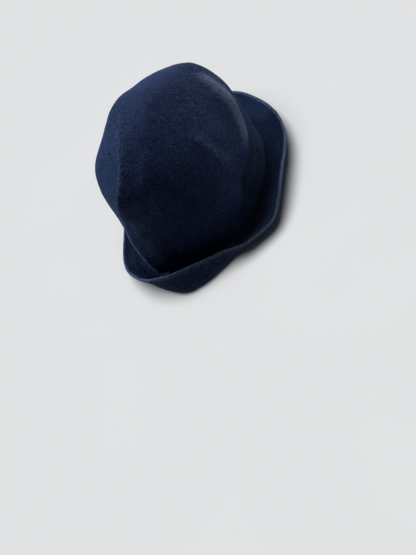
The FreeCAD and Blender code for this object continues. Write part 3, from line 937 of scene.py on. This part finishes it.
# ---------------------------------------------------------------- camera
# The camera's direction is set in the frame of a wearer who stands upright with the hat tipped back.
HAT_TIP, HEADING, ELEVATION = np.radians([56.0, 37.3, 7.4])
CAMERA_DISTANCE = 1325.0
FOCAL_LENGTH = 71.6
HAT_RIGHT, HAT_UP = -4.0, 100.0     # how far the hat stands from the middle of the view


def hat_frame(pale_and_dark):
    """A direction of the upright wearer's frame, in the hat's own frame."""
    x, y, z = pale_and_dark
    cosine, sine = math.cos(HAT_TIP), math.sin(HAT_TIP)
    return Vector((x, y * cosine - z * sine, y * sine + z * cosine))


toward = hat_frame((-math.sin(HEADING) * math.cos(ELEVATION), math.cos(HEADING) * math.cos(ELEVATION),
                    math.sin(ELEVATION)))
right = hat_frame((-math.cos(HEADING), -math.sin(HEADING), 0))
upward = toward.cross(right)

camera_data = bpy.data.cameras.new("camera")
camera = bpy.data.objects.new("camera", camera_data)
bpy.context.collection.objects.link(camera)
bpy.context.scene.camera = camera
camera_data.sensor_width = 36.0
camera_data.lens = FOCAL_LENGTH
camera.location = (toward * CAMERA_DISTANCE - right * HAT_RIGHT - upward * HAT_UP) * MM
camera.rotation_mode = "QUATERNION"
camera.rotation_quaternion = Matrix((right, upward, toward)).transposed().to_quaternion()


# ---------------------------------------------------------------- floor and lights
FLOOR_SIZE, FLOOR_GAP = 12.0, 0.0002
LIGHT_DISTANCE, LIGHT_SIZE = 1.6, 0.6
FLOOR_LIGHT_HEIGHT, FLOOR_LIGHT_SIZE, FLOOR_LIGHT_POWER = 8.0, 8.0, 660
SKY_COLOUR, SKY_STRENGTH = (0.6, 0.82, 1.0, 1), 0.055


def floor_material():
    """A plain pale floor."""
    material, tree, shader = new_material("pale_floor")
    place = node(tree, "ShaderNodeTexCoord").outputs["Object"]
    shades = ramp(tree, noise(tree, place, 6.0), [(0.3, 0.86), (0.7, 0.88)])
    tree.links.new(shades, shader.inputs["Base Color"])
    shader.inputs["Roughness"].default_value = 0.9
    return material


low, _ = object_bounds()
bpy.ops.mesh.primitive_plane_add(size=FLOOR_SIZE, location=(0, 0, low.z - FLOOR_GAP))
floor = bpy.context.object
floor.name = "floor"
floor.data.materials.append(floor_material())

floor_only = bpy.data.collections.new("floor_only")
floor_only.objects.link(floor)
all_but_floor = bpy.data.collections.new("all_but_floor")
all_but_floor.objects.link(floor)
all_but_floor.collection_objects[0].light_linking.link_state = "EXCLUDE"


def area_light(name, direction, distance, size, power, colour, lights):
    """A round soft light that shines from a direction on the floor only, or on everything else only."""
    data = bpy.data.lights.new(name, "AREA")
    data.shape = "DISK"
    data.size = size
    data.energy = power
    data.color = colour
    light = bpy.data.objects.new(name, data)
    bpy.context.collection.objects.link(light)
    light.location = direction.normalized() * distance
    light.rotation_mode = "QUATERNION"
    light.rotation_quaternion = direction.to_track_quat("Z", "Y")
    light.light_linking.receiver_collection = lights


# Each light on the hat: the way to it, as shares toward the viewer, right and up; its power; its colour.
HAT_LIGHTS = {
    "ceiling": ((0.42, -0.45, 0.79), 24, (0.98, 0.98, 1.0)),
    "bulb": ((-0.26, 0.25, 0.93), 17, (1.0, 0.87, 0.68)),
    "bounce": ((0.26, 0.55, 0.79), 12, (0.86, 0.94, 1.0)),
    "window": ((-0.26, -0.93, 0.25), 50, (0.62, 0.81, 1.0)),
}
for name, ((near, side, high), power, colour) in HAT_LIGHTS.items():
    area_light(name, toward * near + right * side + upward * high, LIGHT_DISTANCE, LIGHT_SIZE, power, colour,
               all_but_floor)
area_light("floor_light", Vector((0.0, 0.0, 1.0)), FLOOR_LIGHT_HEIGHT, FLOOR_LIGHT_SIZE, FLOOR_LIGHT_POWER,
           (1.0, 1.0, 1.0), floor_only)

world = bpy.data.worlds.new("studio")
bpy.context.scene.world = world
world.use_nodes = True
sky = world.node_tree
sky.nodes["Background"].inputs["Color"].default_value = SKY_COLOUR
sky.nodes["Background"].inputs["Strength"].default_value = SKY_STRENGTH
# The camera sees plain white behind the floor, and the hat is lit by the sky's own colour.
seen = node(sky, "ShaderNodeBackground", {"Color": (1, 1, 1, 1), "Strength": 1.0})
either = node(sky, "ShaderNodeMixShader", {0: node(sky, "ShaderNodeLightPath").outputs["Is Camera Ray"],
                                           1: sky.nodes["Background"].outputs[0], 2: seen.outputs[0]})
sky.links.new(either.outputs[0], sky.nodes["World Output"].inputs["Surface"])
bpy.context.scene.view_settings.view_transform = "Standard"
